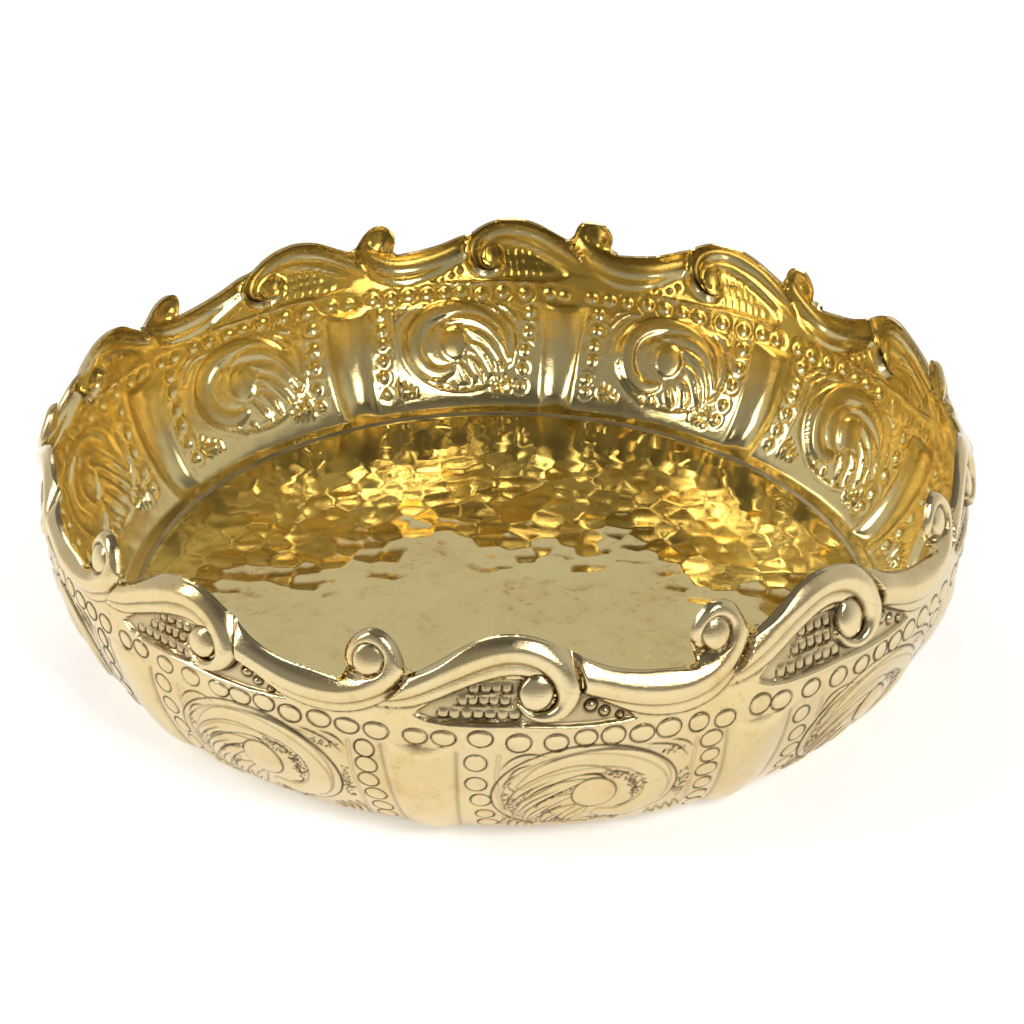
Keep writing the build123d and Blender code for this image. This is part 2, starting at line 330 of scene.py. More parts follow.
def oval_window(x0, y0, rx, ry, margin=1.0):
    """The window round an oval, and how far out its cells are, which is one on the oval."""
    at, x, y = window(x0 - rx - margin, x0 + rx + margin, y0 - ry - margin, y0 + ry + margin)
    return at, np.hypot((x - x0) / rx, (y - y0) / ry)


def around(path, margin):
    """The window round a path."""
    low, high = path[:, :2].min(axis=0) - margin, path[:, :2].max(axis=0) + margin
    return window(low[0], high[0], low[1], high[1])


def chase(at, distance, width, depth, dark=1.0, share=1.0):
    """Cuts a chased line where `distance` is near nought, at its full strength or a share of it."""
    line = np.exp(-((distance / width) ** 2)) * share
    cuts[at] = np.maximum(cuts[at], depth * line)
    ink[at] = np.maximum(ink[at], dark * line)
    ridge = depth * share * np.exp(-((distance / RIDGE_WIDTH) ** 2))
    ridges[at] = np.maximum(ridges[at], ridge)


def chase_path(points, width, depth, dark, count=14):
    """Cuts a chased line that thins out at its ends."""
    path = smooth_path(points, count)
    at, x, y = around(path, 4 * width)
    distance, place, _ = nearest(x, y, path)
    thin = np.sqrt(np.sin(math.pi * np.clip(place / (count - 1), 0.02, 0.98)))
    chase(at, distance, width, depth, dark, thin)


def punch_circle(x0, y0, rx, ry, dome=0.25, width=0.25, depth=0.45):
    """A punched circle: a chased ring about a slight dome."""
    at, reach = oval_window(x0, y0, rx, ry)
    relief[at] += dome * np.clip(1 - reach**2, 0, 1)
    chase(at, (reach - 1) * min(rx, ry), width, depth)


def punch_scale(x0, y0, rx, ry):
    """A squarish scale with a nearly flat top."""
    at, x, y = window(x0 - rx - 1, x0 + rx + 1, y0 - ry - 1, y0 + ry + 1)
    reach = (np.abs((x - x0) / rx) ** 3 + np.abs((y - y0) / ry) ** 3) ** (1 / 3)
    relief[at] += 0.4 * np.clip(1 - reach**6, 0, 1) * smoothstep((y0 + 1.2 * ry - y) / ry)
    lower = np.where(y < y0 + 0.4 * ry, 0.0, FAR)
    chase(at, (reach - 1) * min(rx, ry) + lower, 0.24, 0.35)


def lay_rib(points, base=0.0, count=24, groove=0.35, dark=0.6):
    """A half-round rib along (along, up, half width, rise) points, over what is there."""
    path = smooth_path(points, count)
    at, x, y = around(path, path[:, 2].max() + 1)
    distance, place, _ = nearest(x, y, path[:, :2])
    number = np.arange(count)
    half = np.interp(place, number, np.maximum(path[:, 2], 0.2))
    rise = np.interp(place, number, path[:, 3])
    reach = distance / half
    shape = base + rise * np.sqrt(np.clip(1 - reach**2, 0, 1))
    relief[at] = np.where(reach < 1, np.maximum(shape, relief[at] * 0.3 + shape * 0.7), relief[at])
    cuts[at] = np.where(reach < 1, 0.3 * cuts[at], cuts[at])
    chase(at, distance - half, 0.25, groove, dark)


def mound(x0, y0, rx, ry, rise, floor=0.0, groove=0.4, dark=0.8):
    """An oval boss with a chased line round it."""
    at, reach = oval_window(x0, y0, rx, ry, 1.5)
    shape = floor + rise * np.sqrt(np.clip(1 - reach**2, 0, 1))
    relief[at] = np.where(reach < 1, shape, relief[at])
    for sheet in (cuts, ink, ridges):
        sheet[at] = np.where(reach < 1, 0.0, sheet[at])
    chase(at, (reach - 1) * min(rx, ry), 0.26, groove, dark)


def lay_moulding(rows, fillet, rim, first=0, split=None):
    """A half-round moulding with a flat fillet on its right. Where it meets the rim, it rounds over.

    One that turns back on itself is laid in two lengths, that the second may lie over the first.
    """
    path = smooth_path(np.column_stack([np.array(rows), fillet]), MOULDING_POINTS)
    start = np.interp(rows[first][0], path[:20, 0], np.arange(20)) if first else -1.0
    path[:, 1] += NOTCH_ROW
    if split is None:
        lay_length(path, rim, start, MOULDING_POINTS)
    else:
        lay_length(path[: split + CURL_LAP], rim, start, split + CURL_LAP - 1.01)
        lay_length(path[split:], rim, 0.01, MOULDING_POINTS)


def lay_length(path, rim, start, end):
    """Lays the part of a moulding between two places along its path."""
    at, x, y = around(path, 10)
    distance, place, left = nearest(x, y, path[:, :2])
    number = np.arange(len(path))
    left_half, right_half, rise, level, fillet = [np.interp(place, number, row) for row in path.T[2:]]
    right = ~left
    half = np.where(left, left_half, right_half)
    here = (place > start) & (place < end)

    wide = np.maximum(fillet, 0.3)
    has_shelf = right & (wide > half + 0.5)
    on_shelf = right & here & (distance >= half) & (distance < wide)
    shelf = level * np.sqrt(np.clip(1 - (distance / wide) ** 8, 0, 1))
    relief[at] = np.where(on_shelf, shelf, relief[at])
    chase(at, np.where(has_shelf & here, distance - wide, FAR), 0.26, 0.5, 0.9)

    on_roll = (distance < half) & here
    floor = np.where(left, 0.0, level)
    edge = np.sqrt(np.clip(1 - (1 - np.clip(rim[at] / EDGE_REACH, 0, 1)) ** 2, 0, 1))
    share = np.clip(distance / half, 0, 1)
    slanted = smoothstep((left_half - 4) / 2) * left
    shape = np.sqrt(1 - share**2) * (1 - slanted) + (1 - 0.9 * share**1.5) * slanted
    roll = np.minimum(floor + (rise - floor) * shape, rise * edge)
    relief[at] = np.where(on_roll, roll, relief[at])
    for sheet in (ink, ridges, cuts):
        sheet[at] = np.where(on_roll | on_shelf, sheet[at] * 0.1, sheet[at])

    creased = here & (place < len(path) - 1.5) & (right | (rim[at] > CREASE_REACH))
    crease = np.where(creased, distance - half, FAR)
    chase(at, np.where(has_shelf, crease, FAR), 0.24, 0.18, 0.35)
    chase(at, np.where(has_shelf, FAR, crease), 0.3, 0.5, 0.9)


def blurred(sheet, sigma):
    """The sheet after a Gaussian blur of `sigma` mm. Its two ends meet, and its top and foot don't."""
    pad = int(4 * sigma / CELL) + 1
    tall = np.pad(sheet, ((pad, pad), (0, 0)), mode="edge")
    fy = np.fft.fftfreq(tall.shape[0])[:, None]
    fx = np.fft.rfftfreq(tall.shape[1])[None, :]
    kernel = np.exp(-2 * (math.pi * sigma / CELL) ** 2 * (fx**2 + fy**2))
    return np.fft.irfft2(np.fft.rfft2(tall) * kernel, s=tall.shape)[pad:-pad]


def unevenness(sigma, size):
    """Smooth random ups and downs, `size` mm strong."""
    field = blurred(chance.normal(size=(CELLS_UP, CELLS_ALONG)), sigma)
    return field * size / field.std()


def sampled(sheet, along, up):
    """The sheet's value at any place, between its cells."""
    column = along / CELL
    row = np.clip((up - SHEET_BOTTOM) / CELL, 0, CELLS_UP - 1.001)
    j, i = np.floor(column).astype(int), row.astype(int)
    b, a = column - j, row - i
    j0, j1 = j % CELLS_ALONG, (j + 1) % CELLS_ALONG
    low = sheet[i, j0] * (1 - b) + sheet[i, j1] * b
    high = sheet[i + 1, j0] * (1 - b) + sheet[i + 1, j1] * b
    return low * (1 - a) + high * a


# The ornament, one repeat at a time


def curl_bend(rows, turn, size):
    """Turns and scales a curl's points about its root, so that no two curls are the same."""
    p = np.array(rows, float)
    share = smoothstep((p[:, 1] + 5) / 7) * smoothstep((p[:, 0] - 82) / 5)
    angle = math.radians(turn)
    offset = p[:, :2] - CURL_ROOT
    rotation = np.array([[math.cos(angle), math.sin(angle)], [-math.sin(angle), math.cos(angle)]])
    turned = offset @ rotation * size
    at_end = smoothstep((p[:, 0] - 103.5) / 3)
    share = (share * (1 - at_end))[:, None]
    p[:, :2] = CURL_ROOT + offset * (1 - share) + turned * share
    return p


def scale_field(x0):
    """The sunk field under the crest, with its rows of scales and its buds."""
    at, x, y = window(x0, x0 + 70, 1, 26)
    top = np.interp(x - x0, *np.array(RECESS_TOP).T)
    foot = np.interp(x - x0, *np.array(RECESS_FOOT).T)
    sunk = smoothstep((y - foot) / 0.7 + 0.5) * smoothstep((top - y) / 0.7 + 0.5)
    sunk *= smoothstep((x - x0 - 1.5) / 2) * smoothstep((x0 + 69 - x) / 2)
    relief[at] -= RECESS_DEPTH * sunk
    lip = smoothstep((x - x0 - 1) / 4) * smoothstep((x0 + 72 - x) / 8)
    relief[at] += 0.45 * lip * np.exp(-(((y - foot + 0.9) / 0.9) ** 2))
    ink[at] = np.maximum(ink[at], 0.2 * sunk)
    for start, end, up, count in SCALE_ROWS:
        step = (end - start) / count
        for i in range(count):
            sx = x0 + start + (i + 0.5) * step + chance.normal(0, 0.15)
            sy = up + chance.normal(0, 0.15) + 0.5 * math.sin(math.pi * (i + 0.5) / count)
            punch_scale(sx, sy, step * 0.49, 2.15 + chance.normal(0, 0.1))
        ridge = [(start - 0.5, up - 2.5, 0.4, 0.9), ((start + end) / 2, up - 2.1, 0.5, 1.0)]
        ridge.append((end + 0.8, up - 2.7, 0.4, 0.9))
        lay_rib(moved(ridge, x0), base=-RECESS_DEPTH, groove=0.15, dark=0.3)
    for bx, by, radius in BUDS:
        punch_circle(x0 + bx, by, radius, radius * 1.1, dome=1.2, width=0.26, depth=0.4)


def moved(points, x0):
    """The points of a repeat, moved along to where it starts."""
    return [(x0 + point[0], *point[1:]) for point in points]


def circles(x0):
    """The row of punched circles and the two upright columns of them."""
    for x in ROW_CIRCLES:
        jx, jy, rx, ry = chance.normal(0, [0.35, 0.35, 0.14, 0.14])
        punch_circle(x0 + x + jx, jy, 3.65 + rx, 3.45 + ry, dome=0.45)
    for x, y in LEFT_COLUMN + RIGHT_COLUMN:
        jx, jy, rx, ry = chance.normal(0, [0.25, 0.3, 0.15, 0.15])
        punch_circle(x0 + x + jx, y + jy, 3.35 + rx, 3.5 + ry, dome=0.55)


def flute_and_lines(x0):
    """The plain flute at the start of a repeat, its edges, and the upright lines beside the panels."""
    at, x, y = window(x0 - 14, x0 + 20, -66, 0)
    (top, left0, right0), (foot, left1, right1) = FLUTE_EDGES
    share = np.clip((y - top) / (foot - top), 0, 1.1)
    left = x0 + left0 + (left1 - left0) * share
    right = x0 + right0 + (right1 - right0) * share
    across = (x - (left + right) / 2) / ((right - left) / 2)
    fade = np.sqrt(smoothstep((-3.6 - y) / 5.5)) * smoothstep((y + 64) / 16)
    relief[at] += FLUTE_RISE * np.clip(1 - across**2, 0, 1) * fade
    cut = smoothstep((-4 - y) / 2) * smoothstep((y + 60) / 6)
    for edge in (left, right):
        line = np.exp(-(((x - edge) / 0.8) ** 2)) * cut
        relief[at] -= 0.3 * line
        ink[at] = np.maximum(ink[at], 0.22 * line)
    for low, high in UPRIGHT_LINES:
        wobble = chance.normal(0, 0.3, 3)
        points = [(high, -6), (high + wobble[0], -22), (low + wobble[1], -37), (low, -51)]
        lay_rib([(x0 + px, py, 0.5, 0.3) for px, py in points], groove=0.12, dark=0.3)


def leaf_lobes(x0):
    """The acanthus: long lobes that sweep from the boss down to the left, and short ones below it."""
    for rows in LEAF_LOBES:
        wander = chance.normal(0, 0.25, (len(rows), 2))
        rib = [(r[0] + w[0], r[1] + w[1], r[2], r[3]) for r, w in zip(rows, wander)]
        lay_rib(moved(rib, x0), base=0.3, count=30, groove=0.25, dark=0.55)
        (ax, ay, *_), (bx, by, *_), (cx, cy, *_) = rows[-3:]
        chase_path(moved([(ax, ay - 0.4), (bx - 0.3, by + 0.2), (cx, cy)], x0), 0.26, 0.3, 0.9)
    for points, half_width, count in STIPPLED:
        stipple_along(moved(points, x0), half_width, count)
    for points in STROKES:
        path = [(px + chance.normal(0, 0.2), py + chance.normal(0, 0.2)) for px, py in points]
        chase_path(moved(path, x0), 0.28, 0.4, 1.0)


def medallion(x0):
    """The oval of scrolled acanthus in the middle of a panel."""
    middle, my, half_w, half_h = MEDALLION
    at, reach = oval_window(x0 + middle, my, half_w, half_h, 3)
    outside = (reach - 1) * half_h
    relief[at] += 0.8 * np.clip(1 - reach**4, 0, 1)
    relief[at] += 0.5 * np.sqrt(np.clip(1 - (outside / 1.1) ** 2, 0, 1))
    chase(at, outside - 1.3, 0.24, 0.3, 0.9)
    chase(at, outside + 1.3, 0.24, 0.2, 0.4)
    lay_rib(moved(SCROLL, x0), base=0.5, count=40, groove=0.2, dark=0.35)
    leaf_lobes(x0)
    mound(x0 + BOSS[0], *BOSS[1:], floor=0.6, groove=0.3, dark=0.7)


def dot(px, py):
    """One small punched dot."""
    at, x, y = window(px - 1.2, px + 1.2, py - 1.2, py + 1.2)
    lean = chance.uniform(-0.5, 0.5)
    shape = np.exp(-((((x - px) + lean * (y - py)) / 0.3) ** 2) - ((y - py) / 0.38) ** 2)
    cuts[at] = np.maximum(cuts[at], 0.25 * shape)
    ink[at] = np.maximum(ink[at], shape)


def stipple(x0, y0, half_w, half_h, count):
    """Small punched dots scattered over an oval."""
    for _ in range(count):
        a, reach = chance.uniform(0, 2 * math.pi), math.sqrt(chance.uniform(0, 1))
        dot(x0 + half_w * reach * math.cos(a), y0 + half_h * reach * math.sin(a))


def stipple_along(points, half_width, count):
    """Small punched dots scattered along a curve."""
    path = smooth_path(points, count)
    for px, py in path[:, :2]:
        dot(px + chance.normal(0, 0.4), py + chance.uniform(-half_width, half_width))


def panel_corners(x0):
    """What fills the panel's corners: leaf arcs above, upright flames below, and stipple between."""
    for points in CORNER_ARCS:
        path = [(x0 + px + chance.normal(0, 0.3), py + chance.normal(0, 0.2)) for px, py in points]
        lay_rib([(px, py, 0.9, 0.5) for px, py in path], groove=0.1, dark=0.1)
        chase_path([(px, py + 0.9) for px, py in path], 0.26, 0.4, 1.0)
    for px, lean in FLAMES:
        for i in range(4):
            x = x0 + px + lean * (i - 0.4) * 2.9
            foot = -51.0 + 0.3 * i
            tall = 11.5 - 2.1 * i
            rows = [(x, foot, 0.5, 0.8), (x - lean * 0.8, foot + tall / 2, 1.25, 1.3)]
            rows.append((x + lean, foot + tall, 0.4, 0.6))
            lay_rib(rows, base=0.1, count=12, groove=0.25, dark=0.6)
    for px, *oval in MATTING:
        stipple(x0 + px, *oval)


def clear_of_flutes():
    """One between the flutes and nought on them, along the sheet."""
    place = (np.arange(CELLS_ALONG) * CELL) % PITCH
    return (smoothstep((place - 15.0) / 3) * smoothstep((PITCH - 9.0 - place) / 3))[None, :]


def lay_crest(x0, rim, first=0):
    """The moulding over a crest, from one of its points on."""
    lay_moulding(np.array(CREST) + [x0, 0, 0, 0, 0, 0], CREST_FILLET, rim, first=first)


def distance_to_rim(outlines):
    """How far each cell near the rim is from it."""
    rim = np.full(relief.shape, FAR)
    for k in range(REPEATS):
        before = outlines[(k - 1) % REPEATS] - [ROUND if k == 0 else 0, 0]
        after = outlines[(k + 1) % REPEATS] + [ROUND if k == REPEATS - 1 else 0, 0]
        path = np.vstack([before[-40::2], outlines[k][::2], after[:30:2]])
        keep = np.concatenate([[True], np.hypot(*np.diff(path, axis=0).T) > 1e-6])
        at, x, y = window(k * PITCH, (k + 1) * PITCH, NOTCH_ROW - 14, SHEET_TOP)
        rim[at] = nearest(x, y - NOTCH_ROW, path[keep])[0]
    return rim


def carve():
    """Works the whole relief sheet, and returns the outline of each repeat."""
    bends = [(chance.normal(0, 3.5), 1 + chance.normal(0, 0.035)) for _ in range(REPEATS)]
    starts = [k * PITCH for k in range(REPEATS)]
    outlines = []
    for x0, (turn, size) in zip(starts, bends):
        outlines.append(smooth_path(curl_bend(OUTLINE, turn, size), 220) + [x0, 0])
    rim = distance_to_rim(outlines)
    for x0 in starts:
        flute_and_lines(x0)
        circles(x0)
        medallion(x0)
        panel_corners(x0)
        scale_field(x0)
    for x0 in starts:
        lay_crest(x0, rim)
    for x0, (turn, size) in zip(starts, bends):
        dip = curl_bend(DIP, turn, size) + [x0, 0, 0, 0, 0, 0]
        lay_moulding(dip, DIP_FILLET, rim, split=CURL_SPLIT)
        ex, ey = curl_bend([CURL_EYE[:2]], turn, size)[0]
        mound(x0 + ex, NOTCH_ROW + ey, *CURL_EYE[2:], floor=2.0, groove=0.25, dark=0.5)
    for x0 in starts:
        lay_crest(x0, rim, first=CREST_OVER_DIP)
        mound(x0 + VOLUTE_EYE[0], NOTCH_ROW + VOLUTE_EYE[1], *VOLUTE_EYE[2:], floor=0.5)
    return outlines


OUTLINES = carve()

# What the mesh takes from the sheets: the outer face, the inner face and the patina on both
relief += unevenness(2.6, 0.035) + unevenness(8.0, 0.11)
gentle_forms = OUTER_RELIEF * blurred(relief, 0.45)
sheet_up = (SHEET_BOTTOM + CELL * np.arange(CELLS_UP))[:, None]
in_panel = smoothstep((-2.0 - sheet_up) / 2) * clear_of_flutes()
full_relief = blurred(relief, 0.16)
relief = full_relief * (1 - in_panel) + gentle_forms * in_panel - blurred(cuts, 0.1)
soft = blurred(full_relief - 1.4 * ridges, INNER_BLUR)
softer = blurred(full_relief, 2.2)
hollows = np.clip((blurred(relief, 1.1) - relief) / 0.6, 0, 1)
patina = np.clip(1.2 * blurred(ink, 0.1) + 0.35 * hollows, 0, 1)
inner_patina = np.clip((soft - blurred(full_relief, 2.0)) / 1.1, 0, 1)


# The mesh of the band


def column_feet():
    """Where the mesh's columns cross the row of circles, for all repeats and one more each way."""
    standard = []
    for k in range(-1, REPEATS + 1):
        flute = np.arange(*FLUTE_SPAN, FLUTE_STEP)
        ornament = np.arange(FLUTE_SPAN[1] + 0.3, PITCH + FLUTE_SPAN[0] - 0.2, FINE_STEP)
        standard.append(k * PITCH + np.concatenate([flute, ornament]))
    return np.concatenate(standard)


def seam_places():
    """Where the band's sheet starts and ends, along."""
    turns = np.linspace(0, REPEATS, 4001)
    angles = direction(turns * PITCH)
    half = math.degrees(SEAM_GAP / 2 / NOTCH_RADIUS)
    start = np.interp(SEAM_ANGLE + half, angles, turns) * PITCH
    end = np.interp(SEAM_ANGLE - half, angles, turns) * PITCH
    return start, end


def rim_table():
    """For feet all round: where each column meets the rim, and the rim's outward direction there."""
    feet, tips = [], []
    for k, path in enumerate(OUTLINES):
        local = path[:, 0] - k * PITCH
        length = np.concatenate([[0.0], np.cumsum(np.hypot(*np.diff(path, axis=0).T))])
        fan = np.argmax(local > CURL_START)
        share = (length - length[fan]) / (length[-1] - length[fan])
        foot = np.where(np.arange(len(path)) < fan, local, local[fan] + share * (PITCH - local[fan]))
        feet.append(k * PITCH + foot[:-1])
        tips.append(path[:-1])
    feet, tips = np.concatenate(feet), np.vstack(tips)
    shifted = [tips[-60:] - [ROUND, 0], tips, tips[:60] + [ROUND, 0]]
    feet = np.concatenate([feet[-60:] - ROUND, feet, feet[:60] + ROUND])
    tips = np.vstack(shifted)
    way = np.gradient(tips, axis=0)
    smooth = np.ones(RIM_SMOOTHING) / RIM_SMOOTHING
    way = np.stack([np.convolve(way[:, i], smooth, mode="same") for i in (0, 1)], axis=1)
    way /= np.hypot(*way.T)[:, None]
    return feet, tips, np.stack([-way[:, 1], way[:, 0]], axis=1)


FEET, TIPS, NORMALS = rim_table()


def band_grid(feet):
    """Places along and up of the mesh's points: one row for each height, one column for each foot."""
    around_place = feet % ROUND
    base = feet - around_place
    tip = np.stack([np.interp(around_place, FEET, TIPS[:, i]) for i in (0, 1)])
    normal = np.stack([np.interp(around_place, FEET, NORMALS[:, i]) for i in (0, 1)])
    tip[0] += base
    tip[1] += NOTCH_ROW
    share = np.linspace(0, 1, FOOT_ROWS, endpoint=False)[:, None]
    row = row_length(feet)[None, :]
    low = -row + (row + PLAIN_FOOT) * share
    middle = np.arange(PLAIN_FOOT, -FINE_STEP / 2, FINE_STEP)
    if (FOOT_ROWS + len(middle) + RISE_ROWS) % 2 == 0:
        middle = np.linspace(PLAIN_FOOT, 0, len(middle) + 1, endpoint=False)
    body = np.repeat(middle[:, None], len(feet), axis=1)
    t = np.linspace(0, 1, RISE_ROWS)[:, None]
    p0 = np.stack([feet, np.zeros(len(feet))])
    p1 = p0 + np.array([[0], [FOOT_LEAD]])
    p2 = tip - RIM_LEAD * normal
    along, up = [
        (1 - t) ** 3 * p0[i] + 3 * (1 - t) ** 2 * t * p1[i] + 3 * (1 - t) * t * t * p2[i] + t**3 * tip[i]
        for i in (0, 1)
    ]
    upright = np.repeat(feet[None, :], FOOT_ROWS + len(middle), axis=0)
    for spread in (along, up):
        for _ in range(EVENING):
            beside = spread[1:-1, :-2] + spread[1:-1, 2:]
            spread[1:-1, 1:-1] = (beside + spread[:-2, 1:-1] + spread[2:, 1:-1]) / 4
    return np.vstack([upright, along]), np.vstack([low, body, up])


def sheet_faces(points, way):
    """Quads of a grid of point numbers, wound forwards (1) or backwards (-1)."""
    corners = [points[:-1, :-1], points[:-1, 1:], points[1:, 1:], points[1:, :-1]]
    return np.stack(corners, axis=-1).reshape(-1, 4)[:, ::way].tolist()


def normals_of(points):
    """Unit normals of a grid of points, out of the tray."""
    across = np.gradient(points, axis=1)
    up = np.gradient(points, axis=0)
    normal = np.cross(across, up)
    return normal / np.linalg.norm(normal, axis=2, keepdims=True)


def band_points(feet):
    """Outer points and, on every second row and column, inner points of a stretch of the band."""
    along, up = band_grid(feet)
    wavy = smoothstep((8.0 - up) / 8)
    drift = 0.35 * np.sin(along / 17.0 + 1.3 * np.sin(along / 41.0)) * wavy
    x, y = along + drift, up + 0.6 * drift  # the hand's slow wander
    out = sampled(relief, x, y)
    low = np.clip(sheet_length(along, up) - FLAT_WIDTH, 0, 4) / 4
    outer = wrapped(along, up, out * low)
    gentler = 0.35 * smoothstep((up - 4) / 8)
    on_curl = smoothstep((up - NOTCH_ROW - 1) / 4) * smoothstep((along % PITCH - 82) / 5)
    gentler += (1 - gentler) * on_curl
    follow = (sampled(soft, x, y) * (1 - gentler) + sampled(softer, x, y) * gentler) * low
    follow *= 1 + 0.4 * smoothstep((6 - up) / 6)
    follow = np.minimum(follow, out * low + SHEET - THIN_SHEET)
    gentle = wrapped(along, up, follow)
    inner = gentle - SHEET * normals_of(gentle)
    return outer, inner[::2, ::2], sampled(patina, along, up), sampled(inner_patina, along, up)[::2, ::2]


def closed_sheet(name, feet):
    """A closed mesh of the band's sheet between the first and last foot."""
    outer, inner, outer_dark, inner_dark = band_points(feet)
    first = outer.size // 3
    out = np.arange(first).reshape(outer.shape[:2])
    back = first + np.arange(inner.size // 3).reshape(inner.shape[:2])
    faces = sheet_faces(out, 1) + sheet_faces(back, -1)
    borders = [(out[0], back[0], -1), (out[-1], back[-1], 1)]
    borders += [(out[:, 0], back[:, 0], 1), (out[:, -1], back[:, -1], -1)]
    for o, n, way in borders:
        cap = np.stack([o[:-1:2], o[1::2], o[2::2], n[1:], n[:-1]], axis=1)
        faces += cap[:, ::way].tolist()
    points = np.vstack([outer.reshape(-1, 3), inner.reshape(-1, 3)]) * MM
    dark = np.concatenate([outer_dark.ravel(), inner_dark.ravel()])
    inside = np.concatenate([np.zeros(first), np.ones(len(points) - first)])
    return make_piece(name, points, faces, {"patina": dark, "inside": inside})


def make_piece(name, points, faces, values):
    """A smooth-shaded mesh object with named values at its points."""
    mesh = bpy.data.meshes.new(name)
    mesh.from_pydata(points.tolist(), [], faces)
    for value_name, numbers in values.items():
        attribute = mesh.attributes.new(value_name, "FLOAT", "POINT")
        attribute.data.foreach_set("value", np.asarray(numbers, np.float32))
    mesh.polygons.foreach_set("use_smooth", np.ones(len(mesh.polygons), bool))
    mesh.set_sharp_from_angle(angle=math.radians(62))
    mesh.update()
    piece = bpy.data.objects.new(name, mesh)
    bpy.context.scene.collection.objects.link(piece)
    return piece


def make_band():
    """The band's sheet, and the solder in its seam."""
    start, end = seam_places()
    standard = column_feet()
    end_all_round = end + ROUND
    inside = standard[(standard > start + 0.3) & (standard < ROUND - 9)]
    wrapped_on = standard[(standard >= -9) & (standard < end - 0.3)] + ROUND
    feet = np.concatenate([[start], inside, wrapped_on[wrapped_on > inside[-1] + 0.2], [end_all_round]])
    if len(feet) % 2 == 0:
        feet = np.insert(feet, 1, (feet[0] + feet[1]) / 2)
    band = closed_sheet("wall_band_chased", feet)
    seam = closed_sheet("seam_solder_line", np.linspace(end, start, 5))
    return band, seam


# The floor

FLOOR_TOP = 1.2
FLOOR_RADIUS = 150.0
BLOW_SPACING = 11.0  # between hammer marks
FACE_RADIUS = 125.0  # of the hammer's face, which sets how deep a mark is
MARK_REACH = 13.0  # no mark matters further from its middle than this
SOFT_EDGE = 0.055  # how far the edges between marks are rounded
DARK_EDGE = 0.02  # how far the darker colour reaches from the edges between marks
DEEPEST = 0.30  # of the hammered face's hollows
LEVEL_FROM = 143.0  # radius where the disc starts to level out, under the band's flange
RINGS = 200
SPOKES = 840


def hammer_marks():
    """Middle, tilt and depth of each hammer mark, in rings about the middle of the disc."""
    marks = [(0.0, 0.0)]
    ring = BLOW_SPACING
    while ring < FLOOR_RADIUS + BLOW_SPACING:
        count = int(2 * math.pi * ring / BLOW_SPACING)
        start = chance.uniform(0, 2 * math.pi)
        for i in range(count):
            a = start + 2 * math.pi * (i + chance.normal(0, 0.16)) / count
            r = ring + chance.normal(0, 1.2)
            marks.append((r * math.cos(a), r * math.sin(a)))
        ring += BLOW_SPACING * 0.9
    marks = np.array(marks)
    tilt = chance.normal(0, 0.008, marks.shape)
    depth = chance.normal(0, 0.02, len(marks))
    return marks, tilt, depth


def hammered(x, y):
    """Height of the hammered face over its hollows, and how near each point is to a mark's edge."""
    marks, tilt, depth = hammer_marks()
    best = np.full(x.shape, FAR)
    second = np.full(x.shape, FAR)
    for (mx, my), (tx, ty), deep in zip(marks, tilt, depth):
        close = np.nonzero((np.abs(x - mx) < MARK_REACH) & (np.abs(y - my) < MARK_REACH))
        dx, dy = x[close] - mx, y[close] - my
        height = (dx * dx + dy * dy) / (2 * FACE_RADIUS) + tx * dx + ty * dy + deep
        old = best[close]
        best[close] = np.minimum(old, height)
        second[close] = np.minimum(second[close], np.maximum(old, height))
    gap = second - best
    lift = best - SOFT_EDGE * np.log1p(np.exp(-gap / SOFT_EDGE))
    return lift, np.exp(-gap / DARK_EDGE)


def disc_faces(rings, way):
    """Faces of a disc from its rings of point numbers; its middle point comes next after them."""
    ahead = np.roll(rings, -1, axis=1)
    quads = np.stack([rings[:-1], rings[1:], ahead[1:], ahead[:-1]], axis=-1).reshape(-1, 4)
    fan = np.stack([np.full(SPOKES, rings[-1, -1] + 1), rings[0], ahead[0]], axis=1)
    return quads[:, ::way].tolist() + fan[:, ::way].tolist()


def make_floor():
    """The hammered disc, closed below and at its edge."""
    radii = np.linspace(0, FLOOR_RADIUS, RINGS + 1)[1:]
    angles = np.linspace(0, 2 * math.pi, SPOKES, endpoint=False)
    r, a = np.meshgrid(radii, angles, indexing="ij")
    x, y = np.append(r * np.cos(a), 0.0), np.append(r * np.sin(a), 0.0)
    lift, edges = hammered(x, y)
    flat = smoothstep((np.hypot(x, y) - LEVEL_FROM) / 4)
    bow = 0.03 * np.sin(x / 47.0 + 0.6) * np.cos(y / 58.0)
    z = FLOOR_TOP - DEEPEST + (lift + bow) * (1 - flat)
    z = np.where(flat >= 1, FLOOR_TOP, np.minimum(z + DEEPEST * flat, FLOOR_TOP + 0.05))
    under = np.clip(0.25 * (lift + 0.05) * (np.hypot(x, y) < LEVEL_FROM + 3), 0, 0.25)
    points = np.vstack([np.stack([x, y, z], axis=1), np.stack([x, y, under], axis=1)]) * MM
    count = len(x)
    rings = np.arange(RINGS * SPOKES).reshape(RINGS, SPOKES)
    j, k = rings[-1], np.roll(rings[-1], -1)
    wall = np.stack([k, j, count + j, count + k], axis=1)
    faces = disc_faces(rings, 1) + disc_faces(count + rings, -1) + wall.tolist()
    # the floor is coloured a little darker along the ridges between hammer marks
    dark = np.concatenate([0.12 * edges * (1 - flat), np.zeros(count)])
    values = {"patina": dark, "inside": np.ones(2 * count)}
    return make_piece("floor_disc_hammered", points, faces, values)


# Materials


